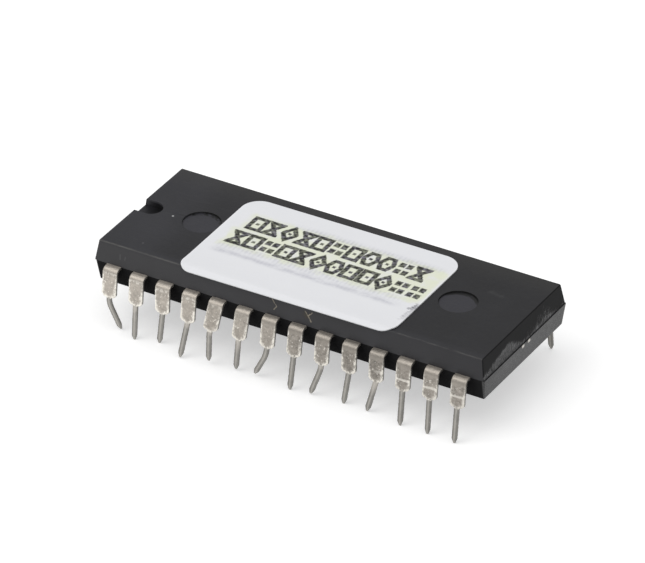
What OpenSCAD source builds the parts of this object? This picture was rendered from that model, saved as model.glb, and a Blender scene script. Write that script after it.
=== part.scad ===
// Memory chip: a 28 lead dual in-line plastic package with a white paper label.
// Millimetres. X runs along the body with the notch at the -X end, and the front row is on the -Y side.
// Z is up from the plane that the tips of the straight pins stand on. X = Y = 0 is the middle of the body.

/* [Package body] */
// Length of the moulded body at its parting line
body_length = 36.83; // [36.2:0.01:38]
// Width of the moulded body at its parting line
body_width = 13.72; // [13.5:0.01:13.9]
// Thickness of the moulded body, underside to top
body_thickness = 3.81; // [3.5:0.01:4.1]
// Slope of the long side walls from vertical, in degrees
side_draft = 9.4; // [5:0.1:12]
// Slope of the end walls above the parting line, in degrees
end_draft_top = 8.6; // [4:0.1:12]
// Slope of the end walls below the parting line, in degrees
end_draft_bottom = 5.6; // [4:0.1:12]
// How far the lower mould half sits along +X of the upper one
mould_offset = 0.1; // [0.02:0.01:0.15]
// Width of the notch that marks the end of lead 1
notch_width = 2; // [1.4:0.05:2.4]
// Length of the notch from the end of the body at its parting line
notch_length = 2.4; // [1.8:0.05:3]
// How far the middle of the notch is from the middle of the body along Y
notch_shift = -0.12; // [-0.3:0.01:0.3]
// Depth of the notch below the top
notch_depth = 0.62; // [0.4:0.01:0.9]
// Diameter of the shallow round marks that the ejector pins leave
ejector_diameter = 3.3; // [2.5:0.1:4]
// Depth of those marks
ejector_depth = 0.12; // [0.05:0.01:0.2]
// Distance from the middle of the body to each mark
ejector_reach = 12.2; // [11:0.1:13]

/* [Leads] */
// Distance between neighbouring leads of a row
pitch = 2.54; // [2.5:0.01:2.56]
// How far past the side of the body each row of legs stands, measured gauge_drop below the leads' plane
leg_reach = 0.76; // [0.7:0.01:0.95]
// How far below the leads' plane the legs' reach is measured
gauge_drop = 1.55; // [1:0.05:2]
// Thickness of the lead frame
lead_thickness = 0.25; // [0.2:0.01:0.3]
// Width of a lead from the body down to its shoulders
lead_width = 1.37; // [1.2:0.01:1.5]
// Width of a pin, which is what enters a board
pin_width = 0.46; // [0.38:0.01:0.56]
// Length of a pin along itself, shoulders to tip
pin_length = 3.25; // [2.9:0.01:3.5]
// Length of the taper at a pin's tip
tip_length = 0.45; // [0.3:0.05:0.6]
// Share of its width and thickness that a pin keeps at the very tip
tip_share = 0.4; // [0.3:0.05:0.8]
// Radius at the lower corners of a lead's wide part
shoulder_radius = 0.25; // [0.1:0.01:0.35]
// Inner radius of the bend beside the body
bend_radius = 0.275; // [0.2:0.005:0.3]
// Angle by which an undisturbed leg leans outwards, in degrees
leg_lean = 7; // [3:0.5:10]
// Height of the leads' middle plane above the shoulders, which is the seating plane
lead_height = 2.47; // [2.3:0.01:2.7]
// Gap from the seating plane up to the underside of the body
standoff = 0.64; // [0.4:0.01:0.9]

/* [Inside the body] */
// Length of the paddle that carries the die
paddle_length = 11; // [9:0.1:11.4]
// Width of the paddle
paddle_width = 6.2; // [5.4:0.1:6.3]
// Width of each of the two tie bars at each end of the paddle
tie_width = 0.35; // [0.25:0.01:0.4]
// Distance between the two tie bars of an end, middle to middle
tie_spacing = 1.0; // [0.8:0.01:1.05]
// How far the cut ends of the tie bars stand out of the mould line
tie_proud = 0.03; // [0:0.01:0.05]
// Length of the silicon die
die_length = 7.0; // [6.6:0.1:7.4]
// Width of the silicon die
die_width = 4.4; // [4.2:0.1:4.8]
// Thickness of the silicon die
die_thickness = 0.38; // [0.25:0.01:0.45]
// Thickness of the adhesive under the die
attach_thickness = 0.03; // [0.02:0.01:0.05]
// How far the adhesive squeezes out all round the die
attach_margin = 0.15; // [0.05:0.01:0.3]
// Gap between the paddle and the inner ends of the leads
finger_gap = 0.4; // [0.3:0.01:0.45]
// Diameter of a bond wire
wire_diameter = 0.032; // [0.025:0.001:0.04]
// Height of a bond wire's arc over the straight line between its ends
wire_rise = 0.35; // [0.25:0.01:0.5]

/* [Label] */
// Length of the label along the body
label_length = 20.3; // [16:0.1:21]
// Thickness of the label
label_thickness = 0.1; // [0.06:0.01:0.15]
// Distance from the middle of the body to the label's back edge
label_back = 5.43; // [5:0.01:5.8]
// How far the label's front edge is folded down over the body's front top edge
label_flap = 0.45; // [0.3:0.01:0.6]
// Radius of the label's corners
label_corner = 1.7; // [1:0.1:2.5]
// How far the middle of the label is from the middle of the body along X
label_shift = -0.34; // [-0.8:0.01:0.8]
// Angle by which the label is turned, seen from above, in degrees
label_turn = 0.4; // [0:0.1:0.6]

/* [Hidden] */
$fn = 48;
// Radius at the root of a pin that was knocked sharply, and of one that was bent more gently.
SHARP = 0.9;
GENTLE = 2.4;
// Each front lead from the notch end onwards, as it was bent in use: lean of the leg outwards, sway of
// the pin towards +X and lean of the pin outwards, all in degrees from vertical, then the radius of the bend.
FRONT_LEADS = [
    [6.5, 18.5, -9.5, GENTLE],
    [5.5, 0, 5.5, SHARP],
    [3, -9, -4, SHARP],
    [8, -6, 14, SHARP],
    [27, -6.5, -7.5, SHARP],
    [17, -8.5, -6, SHARP],
    [9.5, -28, -4, GENTLE],
    [10, -4.5, 4, SHARP],
    [6.5, -20, 2, GENTLE],
    [4, -9.5, -0.5, SHARP],
    [4, -15, 1, SHARP],
    [7, 0, 7, SHARP],
    [8.5, 0, 5.5, SHARP],
    [7.5, 0, 7.5, SHARP]
];
UNDISTURBED = [leg_lean, 0, leg_lean, SHARP];
ROW = len(FRONT_LEADS);
LEADS = 2 * ROW;
HALF_ROW = ROW / 2;
QUADRANTS = [[false, 0], [true, 0], [false, 180], [true, 180]];

// Heights of the main planes.
seat_z = pin_length * cos(leg_lean);
underside_z = seat_z + standoff;
top_z = underside_z + body_thickness;
lead_z = seat_z + lead_height;
parting_z = lead_z + lead_thickness / 2;

// Where a lead turns down: its middle line bends round a point at this distance from the middle.
turn_radius = bend_radius + lead_thickness / 2;
leg_line = body_width / 2 + leg_reach - gauge_drop * tan(leg_lean);
bend_start = leg_line - turn_radius * tan((90 - leg_lean) / 2);
leg_drop = lead_height - turn_radius * (1 - sin(leg_lean));
leg_length = leg_drop / cos(leg_lean);

// How far a pin reaches up inside its leg.
pin_root = 0.2;
// How far the flat and bent stretches of a lead run into each other.
join = 0.03;
// A pin that is bent by less than this, as the sine of the angle, is made straight.
straight_enough = 0.04;

// Edges of the top face and of the label.
top_edge_y = body_width / 2 - (top_z - parting_z) * tan(side_draft);
label_front = top_edge_y + label_flap;
label_width = label_back + label_front;
fold_angle = 90 - side_draft;
label_middle = [label_shift, (label_back - label_front) / 2];
fold_overlap = 0.02;

// The wide part of a lead reaches this far into the body, to where its finger towards the die starts.
neck_inset = 0.66;
neck_y = -(body_width / 2 - neck_inset);
neck_width = 0.9;
// Each finger starts this far outside the neck, inside the wide part.
neck_overlap = 0.3;

// The lines along which the fingers of the first seven leads run to their inner ends beside the paddle.
// Each row is the point where it turns away from its lead, then the points it passes, as [x, y, width].
tip_x = -(paddle_length / 2 + finger_gap);
tip_y = -(paddle_width / 2 + finger_gap);
END_WIDTH = 0.4;
FINGERS = [
    [[lead_x(1), past_neck(0.74), 0.8], [-13.6, -1.6, 0.6], [tip_x, -1.25, END_WIDTH]],
    [[lead_x(2), past_neck(0.33), 0.8], [-11.5, -2.45, 0.6], [tip_x, -2.0, END_WIDTH]],
    [[lead_x(3), past_neck(0.22), 0.8], [-9.6, -3.35, 0.6], [tip_x, -2.75, END_WIDTH]],
    [[lead_x(4), past_neck(0.19), 0.8], [-7.4, past_neck(0.7), 0.6], [-5.0, tip_y - 0.1, END_WIDTH]],
    [[lead_x(5), past_neck(0.15), 0.8], [-3.9, past_neck(0.56), 0.6], [-3.75, tip_y, END_WIDTH]],
    [[lead_x(6), past_neck(0.11), 0.8], [-2.6, past_neck(0.44), 0.6], [-2.5, tip_y, END_WIDTH]],
    [[lead_x(7), past_neck(0.33), 0.7], [-1.25, past_neck(0.74), 0.5], [-1.25, tip_y, END_WIDTH]]
];

// Bond pads on the die for the first seven leads, and the ends of their wires.
pad_x = -(die_length / 2 - 0.25);
pad_y = -(die_width / 2 - 0.2);
PADS = [
    [pad_x, -0.5], [pad_x, -1.0], [pad_x, -1.5],
    [-2.8, pad_y], [-2.1, pad_y], [-1.4, pad_y], [-0.7, pad_y]
];
die_top = parting_z + attach_thickness + die_thickness;
bond_height = 0.06;
ball_radius = 0.045;
stitch_radius = 0.06;
stitch_inset = 0.25;

function lead_name(n) = str("lead_", n < 10 ? "0" : "", n);
function lead_x(i) = (i - (ROW + 1) / 2) * pitch;
function bend_of(n) = n <= ROW ? FRONT_LEADS[n - 1] : UNDISTURBED;
function place_in_row(n) = n <= ROW ? n : n - ROW;
function past_neck(share) = neck_y + share * (tip_y - neck_y);
function unit(v) = v / norm(v);
function left_of(v) = [-v[1], v[0]];
function flat_point(p) = [p[0], p[1]];

// The sideways offset at point i of a line, long enough to keep the width in a corner.
function mitre(line, i) =
    let (before = max(i, 1))
    let (after = min(i, len(line) - 2))
    let (a = left_of(unit(line[before] - line[before - 1])))
    let (b = left_of(unit(line[after + 1] - line[after])))
    let (m = unit(a + b))
    m / (m * a);

function turned(v, a) = [v[0] * cos(a) - v[1] * sin(a), v[0] * sin(a) + v[1] * cos(a)];
function label_corner_middle(a, b) = [a * (label_length / 2 - label_corner), b * (label_width / 2 - label_corner)];

// Where the label's outline crosses the fold at its -X end, with side -1, or its +X end, with side 1.
function fold_end(side) =
    let (middle = label_middle + turned(label_corner_middle(side, -1), label_turn))
    middle[0] + side * sqrt(pow(label_corner, 2) - pow(top_edge_y + middle[1], 2));

// The unit direction of a pin that sways towards +X and leans outwards from the front row.
function pin_direction(sway, lean) = unit([tan(sway), -tan(lean), -1]);

// A strip of varying width along the points [x, y, width].
module strip(points) {
    line = [for (p = points) flat_point(p)];
    last = len(line) - 1;
    left_side = [for (i = [0:last]) line[i] + mitre(line, i) * points[i][2] / 2];
    right_side = [for (i = [last:-1:0]) line[i] - mitre(line, i) * points[i][2] / 2];
    polygon(concat(left_side, right_side));
}

// Four-sided outline with a level base of the given width and sides that lean in.
module drafted_outline(width, height, draft) {
    inset = height * tan(draft);
    polygon([
        [-width / 2, 0],
        [width / 2, 0],
        [width / 2 - inset, height],
        [-width / 2 + inset, height]
    ]);
}

// One mould half, standing on the parting line.
module mould_half(height, end_draft) {
    intersection() {
        rotate([90, 0, 0])
            translate([0, 0, -body_width])
                linear_extrude(2 * body_width)
                    drafted_outline(body_length, height, end_draft);
        rotate([90, 0, 90])
            translate([0, 0, -body_length])
                linear_extrude(2 * body_length)
                    drafted_outline(body_width, height, side_draft);
    }
}

module mould_shape() {
    translate([0, 0, parting_z])
        mould_half(top_z - parting_z, end_draft_top);
    translate([mould_offset, 0, parting_z])
        mirror([0, 0, 1])
            mould_half(parting_z - underside_z, end_draft_bottom);
}

// The index notch: a slot from the end of the body that ends in a half circle.
module notch() {
    inner_end = -body_length / 2 + notch_length;
    half = notch_width / 2;
    translate([0, notch_shift, top_z - notch_depth])
        linear_extrude(2 * notch_depth) {
            translate([inner_end - half, 0])
                circle(half);
            translate([inner_end - half - notch_length, -half])
                square([notch_length, notch_width]);
        }
}

module ejector_marks(z) {
    for (side = [-1, 1])
        translate([side * ejector_reach, 0, z])
            cylinder(h = 2 * ejector_depth, d = ejector_diameter, center = true);
}

// Plan of the flat part of the lead in place i of the front row, up to where it turns down.
module lead_plan(i) {
    k = i <= HALF_ROW ? i : ROW + 1 - i;
    x = lead_x(i);
    translate([x - lead_width / 2, -bend_start - join])
        square([lead_width, bend_start + join + neck_y]);
    mirror([i <= HALF_ROW ? 0 : 1, 0])
        strip(concat([[lead_x(k), neck_y - neck_overlap, neck_width]], FINGERS[k - 1]));
}

module lead_plate(i) {
    translate([0, 0, lead_z - lead_thickness / 2])
        linear_extrude(lead_thickness)
            lead_plan(i);
}

// A wide leg with rounded lower corners, drawn upside down in X and Y.
module leg_outline() {
    half = lead_width / 2;
    translate([-half, -join])
        square([lead_width, leg_length - shoulder_radius + join]);
    translate([-half + shoulder_radius, 0])
        square([lead_width - 2 * shoulder_radius, leg_length]);
    for (side = [-1, 1])
        translate([side * (half - shoulder_radius), leg_length - shoulder_radius])
            circle(shoulder_radius);
}

// An outline of the given width that narrows towards its end at y = length.
module tapered_outline(width, length) {
    tip = width * tip_share;
    polygon([
        [-width / 2, 0],
        [width / 2, 0],
        [width / 2, length - tip_length],
        [tip / 2, length],
        [-tip / 2, length],
        [-width / 2, length - tip_length]
    ]);
}

// Straight end of a pin along +Z, tapered both ways at its tip.
module pin_end(length) {
    intersection() {
        rotate([90, 0, 0])
            translate([0, 0, -lead_thickness])
                linear_extrude(2 * lead_thickness)
                    tapered_outline(pin_width, length);
        rotate([90, 0, 90])
            translate([0, 0, -pin_width])
                linear_extrude(2 * pin_width)
                    tapered_outline(lead_thickness, length);
    }
}

// Pin that starts along +Z and is bent by an angle towards the direction facing, seen along +Z.
module pin(angle, facing, radius) {
    turned = radius * angle * PI / 180;
    translate([-pin_width / 2, -lead_thickness / 2, -pin_root])
        cube([pin_width, lead_thickness, pin_root + join]);
    rotate([0, 0, facing]) {
        translate([radius, 0, 0])
            rotate([90, 0, 180])
                rotate_extrude(angle = angle)
                    translate([radius, 0])
                        mirror([1, 0])
                            rotate(-facing)
                                square([pin_width, lead_thickness], center = true);
        translate([radius * (1 - cos(angle)), 0, radius * sin(angle)])
            rotate([0, angle, 0])
                rotate([0, 0, -facing])
                    translate([0, 0, -join])
                        pin_end(pin_length - turned + join);
    }
}

// The bend, leg and pin of one lead, starting where the flat part ends.
module lead_outside(bend) {
    lean = bend[0];
    turn = 90 - lean;
    direction = pin_direction(bend[1], bend[2]);
    across = direction[0];
    outward = -direction[1] * cos(lean) + direction[2] * sin(lean);
    along = -direction[1] * sin(lean) - direction[2] * cos(lean);
    translate([0, 0, -turn_radius])
        rotate([180, -90, 0])
            rotate_extrude(angle = turn)
                translate([turn_radius, 0])
                    square([lead_thickness, lead_width], center = true);
    translate([0, -turn_radius * sin(turn), -turn_radius * (1 - cos(turn))])
        rotate([180 - lean, 0, 0]) {
            rotate([90, 0, 0])
                translate([0, 0, -lead_thickness / 2])
                    linear_extrude(lead_thickness)
                        leg_outline();
            translate([0, 0, leg_length])
                if (norm([across, outward]) < straight_enough)
                    pin_straight();
                else
                    pin(acos(along), atan2(outward, across), bend[3]);
        }
}

module pin_straight() {
    translate([0, 0, -pin_root])
        pin_end(pin_length + pin_root);
}

module lead(n) {
    i = place_in_row(n);
    color([0.68, 0.65, 0.6])
        rotate([0, 0, n <= ROW ? 0 : 180]) {
            lead_plate(i);
            translate([lead_x(i), -bend_start, lead_z])
                lead_outside(bend_of(n));
        }
}

module paddle_shape() {
    reach = body_length / 2 + tie_proud;
    translate([0, 0, lead_z - lead_thickness / 2])
        linear_extrude(lead_thickness) {
            square([paddle_length, paddle_width], center = true);
            for (side = [-1, 1])
                translate([-reach, side * tie_spacing / 2 - tie_width / 2])
                    square([2 * reach + mould_offset, tie_width]);
        }
}

module die_paddle() {
    color([0.72, 0.5, 0.3])
        paddle_shape();
}

module attach_shape() {
    translate([0, 0, parting_z])
        linear_extrude(attach_thickness)
            square([die_length + 2 * attach_margin, die_width + 2 * attach_margin], center = true);
}

module die_attach() {
    color([0.8, 0.8, 0.8])
        attach_shape();
}

module die_shape() {
    translate([0, 0, parting_z + attach_thickness])
        linear_extrude(die_thickness)
            square([die_length, die_width], center = true);
}

module die() {
    color([0.35, 0.38, 0.45])
        die_shape();
}

// One gold wire from the bond pad of finger k to the finger's inner end.
module wire(k) {
    finger = FINGERS[k - 1];
    end = flat_point(finger[2]);
    stitch = end + unit(flat_point(finger[1]) - end) * stitch_inset;
    pad = PADS[k - 1];
    span = stitch - pad;
    fall = die_top - parting_z;
    chord = norm([span[0], span[1], fall]);
    radius = (chord * chord / 4 + wire_rise * wire_rise) / (2 * wire_rise);
    half_angle = asin(chord / 2 / radius);
    translate([pad[0], pad[1], die_top])
        cylinder(h = bond_height, r = ball_radius);
    translate([stitch[0], stitch[1], parting_z])
        cylinder(h = bond_height, r = stitch_radius);
    translate([pad[0], pad[1], die_top + bond_height / 2])
        rotate([0, asin(fall / chord), atan2(span[1], span[0])])
            translate([chord / 2, 0, wire_rise - radius])
                rotate([90, 0, 0])
                    rotate([0, 0, 90 - half_angle])
                        rotate_extrude(angle = 2 * half_angle)
                            translate([radius, 0])
                                circle(d = wire_diameter, $fn = 6);
}

module all_wires() {
    for (q = QUADRANTS)
        rotate([0, 0, q[1]])
            mirror([q[0] ? 1 : 0, 0, 0])
                for (k = [1:HALF_ROW])
                    wire(k);
}

module bond_wires() {
    color([0.85, 0.68, 0.3])
        all_wires();
}

// The sealed plastic, with a hollow exactly where each inner piece is.
module package_body() {
    color([0.13, 0.13, 0.14])
        difference() {
            mould_shape();
            notch();
            ejector_marks(top_z);
            ejector_marks(underside_z);
            for (row = [0, 180], i = [1:ROW])
                rotate([0, 0, row])
                    lead_plate(i);
            paddle_shape();
            attach_shape();
            die_shape();
            all_wires();
        }
}

// The whole label laid flat, in place over the top face.
module label_plan() {
    translate(label_middle)
        rotate(label_turn) {
            square([label_length, label_width - 2 * label_corner], center = true);
            square([label_length - 2 * label_corner, label_width], center = true);
            for (a = [-1, 1], b = [-1, 1])
                translate(label_corner_middle(a, b))
                    circle(label_corner);
        }
}

module label_part(low_y, high_y) {
    intersection() {
        label_plan();
        translate([-label_length, low_y])
            square([2 * label_length, high_y - low_y]);
    }
}

// Cross-section of the crease, with the fold line at the origin. It reaches a little into both parts.
module fold_section() {
    t = label_thickness;
    along = fold_overlap * [-cos(fold_angle), -sin(fold_angle)];
    outward = t * [-sin(fold_angle), cos(fold_angle)];
    polygon([
        [0, 0],
        [fold_overlap, 0],
        [fold_overlap, t],
        [-t * tan(fold_angle / 2), t],
        outward + along,
        along
    ]);
}

// The label lies on the top face, and its front edge is folded down over the sloping front face.
module label() {
    color([0.9, 0.9, 0.92])
        translate([0, -top_edge_y, top_z]) {
            linear_extrude(label_thickness)
                translate([0, top_edge_y])
                    label_part(-top_edge_y, body_width);
            rotate([fold_angle, 0, 0])
                linear_extrude(label_thickness)
                    translate([0, top_edge_y])
                        label_part(-body_width, -top_edge_y);
            rotate([90, 0, 90])
                translate([0, 0, fold_end(-1) - fold_overlap])
                    linear_extrude(fold_end(1) - fold_end(-1) + 2 * fold_overlap)
                        fold_section();
        }
}

package_body();
for (n = [1:LEADS])
    lead(n);
die_paddle();
die_attach();
die();
bond_wires();
label();
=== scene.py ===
"""Dressed model of a 28 lead memory chip: moulded body, tinned leads, cut tie bars and a paper label."""

import math

import bmesh
import bpy
from mathutils import Matrix, Vector, noise


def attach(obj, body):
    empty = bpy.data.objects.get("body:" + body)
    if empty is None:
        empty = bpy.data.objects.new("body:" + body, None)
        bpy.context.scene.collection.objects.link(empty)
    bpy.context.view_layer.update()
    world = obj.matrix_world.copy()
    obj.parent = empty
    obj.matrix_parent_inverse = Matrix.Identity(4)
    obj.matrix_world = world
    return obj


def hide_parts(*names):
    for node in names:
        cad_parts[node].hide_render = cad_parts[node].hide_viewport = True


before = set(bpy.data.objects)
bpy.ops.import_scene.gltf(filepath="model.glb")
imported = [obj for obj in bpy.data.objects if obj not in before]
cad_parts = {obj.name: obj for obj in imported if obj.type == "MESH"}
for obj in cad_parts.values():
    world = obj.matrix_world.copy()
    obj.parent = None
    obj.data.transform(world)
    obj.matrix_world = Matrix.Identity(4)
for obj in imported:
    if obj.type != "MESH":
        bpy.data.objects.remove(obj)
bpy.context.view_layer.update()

bl_info = {
    "name": "Memory chip",
    "version": (1, 0, 0),
    "blender": (4, 5, 0),
    "location": "View3D > Sidebar > Memory chip",
    "description": "Builds the dressed memory chip and its studio around the packed frame",
    "category": "Object",
}

# Pieces are modelled in millimetres and brought to metres when they are finished.
MM = 0.001
LEAD_NODES = [f"lead_{number:02d}" for number in range(1, 29)]


# Sizes and colours a user would change.

class ChipBodySettings(bpy.types.PropertyGroup):
    length: bpy.props.FloatProperty(
        name="Length", description="Length at the parting line",
        default=36.83 * MM, min=0.01, unit="LENGTH", precision=5)
    width: bpy.props.FloatProperty(
        name="Width", description="Width at the parting line",
        default=13.72 * MM, min=0.005, unit="LENGTH", precision=5)
    underside: bpy.props.FloatProperty(
        name="Underside", description="Height of the underside over the pin tips",
        default=3.866 * MM, min=0, unit="LENGTH", precision=5)
    parting: bpy.props.FloatProperty(
        name="Parting line", description="Height of the parting line",
        default=5.821 * MM, min=0, unit="LENGTH", precision=5)
    top: bpy.props.FloatProperty(
        name="Top", description="Height of the top face",
        default=7.676 * MM, min=0, unit="LENGTH", precision=5)
    side_draft: bpy.props.FloatProperty(
        name="Side draft", description="Slope of the long walls from vertical",
        default=math.radians(9.4), unit="ROTATION")
    end_draft_top: bpy.props.FloatProperty(
        name="Upper end draft", description="Slope of the end walls above the parting line",
        default=math.radians(8.6), unit="ROTATION")
    end_draft_bottom: bpy.props.FloatProperty(
        name="Lower end draft", description="Slope of the end walls below the parting line",
        default=math.radians(5.6), unit="ROTATION")
    mould_offset: bpy.props.FloatProperty(
        name="Mould offset", description="How far the lower half sits along +X of the upper one",
        default=0.1 * MM, unit="LENGTH", precision=5)
    edge_radius: bpy.props.FloatProperty(
        name="Edge radius", description="Rounding of the moulded edges",
        default=0.1 * MM, min=0, unit="LENGTH", precision=5)
    plastic: bpy.props.FloatVectorProperty(
        name="Plastic", description="Colour of the mould compound",
        default=(0.0198, 0.0197, 0.0242), min=0, max=1, subtype="COLOR")


class ChipLeadSettings(bpy.types.PropertyGroup):
    grain: bpy.props.FloatProperty(
        name="Mesh grain", description="Size of the mesh faces on the tinned leads",
        default=0.045 * MM, min=0.01 * MM, unit="LENGTH", precision=6)
    unevenness: bpy.props.FloatProperty(
        name="Unevenness", description="Height of the lumps in the tin",
        default=0.012 * MM, min=0, unit="LENGTH", precision=6)
    seat: bpy.props.FloatProperty(
        name="Seating plane", description="Height of the shoulders where the pins start",
        default=3.226 * MM, min=0, unit="LENGTH", precision=5)
    tin: bpy.props.FloatVectorProperty(
        name="Tin", description="Colour of the tin on the wide part of a lead",
        default=(0.50, 0.455, 0.40), min=0, max=1, subtype="COLOR")
    pin_tin: bpy.props.FloatVectorProperty(
        name="Pin", description="Colour of the duller tin on a pin",
        default=(0.40, 0.385, 0.355), min=0, max=1, subtype="COLOR")


class ChipLabelSettings(bpy.types.PropertyGroup):
    length: bpy.props.FloatProperty(
        name="Length", description="Length of the label along the body",
        default=20.3 * MM, min=0.005, unit="LENGTH", precision=5)
    back: bpy.props.FloatProperty(
        name="Back edge", description="Distance of the back edge from the middle of the body",
        default=5.43 * MM, unit="LENGTH", precision=5)
    flap: bpy.props.FloatProperty(
        name="Flap", description="How far the front edge reaches past the top face",
        default=0.45 * MM, min=0, unit="LENGTH", precision=5)
    corner: bpy.props.FloatProperty(
        name="Back corners", description="Radius of the label's corners at the back edge",
        default=1.7 * MM, min=0.0001, unit="LENGTH", precision=5)
    front_corner: bpy.props.FloatProperty(
        name="Front corners", description="Radius of the label's corners at the front edge",
        default=1.27 * MM, min=0.0001, unit="LENGTH", precision=5)
    droop: bpy.props.FloatProperty(
        name="Droop", description="How far the loose front edge bends down from the top face",
        default=math.radians(20), min=0, unit="ROTATION")
    thickness: bpy.props.FloatProperty(
        name="Thickness", description="Thickness of the paper and its adhesive",
        default=0.1 * MM, min=0.00001, unit="LENGTH", precision=6)
    shift: bpy.props.FloatProperty(
        name="Shift", description="Place of the label's middle along the body",
        default=-0.34 * MM, unit="LENGTH", precision=5)
    turn: bpy.props.FloatProperty(
        name="Turn", description="Angle by which the label is turned",
        default=math.radians(0.4), unit="ROTATION")
    paper: bpy.props.FloatVectorProperty(
        name="Paper", description="Colour of the paper",
        default=(0.825, 0.832, 0.858), min=0, max=1, subtype="COLOR")
    ink: bpy.props.FloatVectorProperty(
        name="Ink", description="Colour of the printed marks",
        default=(0.052, 0.056, 0.036), min=0, max=1, subtype="COLOR")
    ground: bpy.props.FloatVectorProperty(
        name="Ground", description="Colour of the tinted ground behind the marks",
        default=(0.80, 0.83, 0.66), min=0, max=1, subtype="COLOR")


class ChipStageSettings(bpy.types.PropertyGroup):
    azimuth: bpy.props.FloatProperty(
        name="Azimuth", description="Turn of the camera from straight in front of the front row",
        default=math.radians(30.51), unit="ROTATION")
    elevation: bpy.props.FloatProperty(
        name="Elevation", description="Height of the camera over the horizon",
        default=math.radians(32.30), unit="ROTATION")
    roll: bpy.props.FloatProperty(
        name="Roll", description="Turn of the camera about its own axis",
        default=math.radians(-0.17), unit="ROTATION")
    distance: bpy.props.FloatProperty(
        name="Distance", description="Distance of the camera from the chip",
        default=533.06 * MM, min=0.01, unit="LENGTH")
    lens: bpy.props.FloatProperty(
        name="Lens", description="Focal length of the camera, in millimetres",
        default=361.68, min=1, subtype="NONE")
    floor: bpy.props.FloatVectorProperty(
        name="Floor", description="Colour of the floor",
        default=(0.72, 0.72, 0.72), min=0, max=1, subtype="COLOR")
    backdrop: bpy.props.FloatProperty(
        name="Backdrop", description="How much the floor is whitened where the camera sees it",
        default=0.46, min=0, max=1, subtype="FACTOR")


# Shader maths: a wire is one output socket, and arithmetic on wires adds Math nodes.

class Wire:
    def __init__(self, look, socket):
        self.look = look
        self.socket = socket

    def maths(self, operation, *values):
        return self.look.node("ShaderNodeMath", {"operation": operation}, dict(enumerate(values)))

    def __add__(self, other):
        return self.maths("ADD", self, other)

    def __radd__(self, other):
        return self.maths("ADD", other, self)

    def __sub__(self, other):
        return self.maths("SUBTRACT", self, other)

    def __rsub__(self, other):
        return self.maths("SUBTRACT", other, self)

    def __mul__(self, other):
        return self.maths("MULTIPLY", self, other)

    def __rmul__(self, other):
        return self.maths("MULTIPLY", other, self)

    def __truediv__(self, other):
        return self.maths("DIVIDE", self, other)

    def __rtruediv__(self, other):
        return self.maths("DIVIDE", other, self)

    def __neg__(self):
        return self.maths("MULTIPLY", self, -1.0)

    def __abs__(self):
        return self.maths("ABSOLUTE", self)

    def __pow__(self, other):
        return self.maths("POWER", self, other)

    def __gt__(self, other):
        return self.maths("GREATER_THAN", self, other)

    def __lt__(self, other):
        return self.maths("LESS_THAN", self, other)

    def least(self, other):
        return self.maths("MINIMUM", self, other)

    def most(self, other):
        return self.maths("MAXIMUM", self, other)

    def floor(self):
        return self.maths("FLOOR", self)

    def fraction(self):
        return self.maths("FRACT", self)

    def root(self):
        return self.maths("SQRT", self)

    def sine(self):
        return self.maths("SINE", self)

    def rise(self, low, high):
        """0 below low, 1 above high and smooth between. With low above high it falls instead."""
        if low <= high:
            ends = {"From Min": low, "From Max": high, "To Min": 0.0, "To Max": 1.0}
        else:
            ends = {"From Min": high, "From Max": low, "To Min": 1.0, "To Max": 0.0}
        return self.look.node(
            "ShaderNodeMapRange", {"interpolation_type": "SMOOTHSTEP"}, {"Value": self, **ends})


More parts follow.
